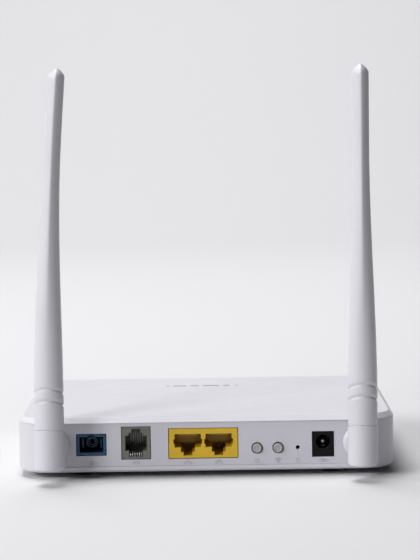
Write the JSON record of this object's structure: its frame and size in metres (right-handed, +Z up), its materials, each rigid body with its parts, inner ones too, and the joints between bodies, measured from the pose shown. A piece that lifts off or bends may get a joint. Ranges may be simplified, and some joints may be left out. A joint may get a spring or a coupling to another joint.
{
  "type": "optical network terminal",
  "caption": "Flat white desktop fibre network terminal with rear sockets, push buttons and swivelling, tilting antennas.",
  "frame": {"origin": "under the middle of the whole object's plan outline, antennas included, on the surface it stands on", "axes": "+Z up; -Y is the socket side with the antennas; +Y is the indicator side; +X is to the right when the sockets are seen"},
  "size_m": [0.1684, 0.1378, 0.1816],
  "materials": {
    "white_shell": "satin",
    "white_panel": "satin",
    "foot_rubber": "matte",
    "steel": "satin",
    "contact_gold": "polished",
    "circuit_board": "satin",
    "fibre_blue": "satin",
    "phone_grey": "satin",
    "lan_yellow": "gloss",
    "black_plastic": "satin",
    "button_grey": "satin",
    "ceramic": "gloss",
    "aluminium": "satin",
    "clear_plastic": "gloss",
    "label_film": "matte"
  },
  "bodies": {
    "case": {"antenna_lead_left": "black_plastic", "antenna_lead_right": "black_plastic", "board_screw_1": "steel", "board_screw_2": "steel", "bottom_case": "white_shell", "capacitor_1": "black_plastic", "capacitor_2": "black_plastic", "case_screw_1": "steel", "case_screw_2": "steel", "case_screw_3": "steel", "case_screw_4": "steel", "dc_jack": "black_plastic", "dc_pin": "steel", "dc_spring": "steel", "ferrule_sleeve": "ceramic", "heat_sink": "aluminium", "lan_transformer": "black_plastic", "lead_plug_left": "contact_gold", "lead_plug_right": "contact_gold", "light_guide": "clear_plastic", "main_board": "circuit_board", "memory_chip": "black_plastic", "optical_transceiver": "steel", "phone_line_chip": "black_plastic", "power_inductor": "aluminium", "power_switch": "black_plastic", "processor": "black_plastic", "rating_plate": "label_film", "rear_panel": "white_panel", "reset_switch": "black_plastic", "rj11_contacts": "steel", "rj11_jack": "phone_grey", "rj45_contacts_1": "contact_gold", "rj45_contacts_2": "contact_gold", "rj45_jack": "lan_yellow", "rubber_foot_1": "foot_rubber", "rubber_foot_2": "foot_rubber", "rubber_foot_3": "foot_rubber", "rubber_foot_4": "foot_rubber", "sc_adapter": "fibre_blue", "top_cover": "white_shell", "wifi_shield": "steel", "wifi_switch": "black_plastic"},
    "power_key": {"power_button": "button_grey"},
    "wifi_key": {"wifi_button": "button_grey"},
    "reset_key": {"reset_plunger": "black_plastic"},
    "swivel_left": {"antenna_boss_left": "white_shell", "boss_clip_left": "steel", "hinge_pin_left": "steel"},
    "antenna_left": {"antenna_base_left": "white_shell", "antenna_blade_left": "white_shell", "antenna_element_left": "contact_gold"},
    "swivel_right": {"antenna_boss_right": "white_shell", "boss_clip_right": "steel", "hinge_pin_right": "steel"},
    "antenna_right": {"antenna_base_right": "white_shell", "antenna_blade_right": "white_shell", "antenna_element_right": "contact_gold"}
  },
  "joints": [
    {"name": "power_push", "type": "slide", "parent": "case", "child": "power_key", "axis": [0, 1, 0], "range_m": [0, 0.0012], "stiffness_N_per_m": 900, "springref_m": -0.001},
    {"name": "wifi_push", "type": "slide", "parent": "case", "child": "wifi_key", "axis": [0, 1, 0], "range_m": [0, 0.0008], "stiffness_N_per_m": 900, "springref_m": -0.001},
    {"name": "reset_push", "type": "slide", "parent": "case", "child": "reset_key", "axis": [0, 1, 0], "range_m": [0, 0.0003], "stiffness_N_per_m": 1500, "springref_m": -0.001},
    {"name": "left_antenna_swivel", "type": "hinge", "parent": "case", "child": "swivel_left", "pos_m": [-0.0685, -0.04908, 0.015], "axis": [0, 1, 0], "range_deg": [-90, 17.5]},
    {"name": "left_antenna_tilt", "type": "hinge", "parent": "swivel_left", "child": "antenna_left", "pos_m": [-0.0685, -0.06227, 0.015], "axis": [1, 0, -0.0087], "range_deg": [0, 90]},
    {"name": "right_antenna_swivel", "type": "hinge", "parent": "case", "child": "swivel_right", "pos_m": [0.0685, -0.04908, 0.015], "axis": [0, 1, 0], "range_deg": [-17.5, 90]},
    {"name": "right_antenna_tilt", "type": "hinge", "parent": "swivel_right", "child": "antenna_right", "pos_m": [0.0685, -0.06227, 0.015], "axis": [1, 0, 0], "range_deg": [0, 90]}
  ]
}
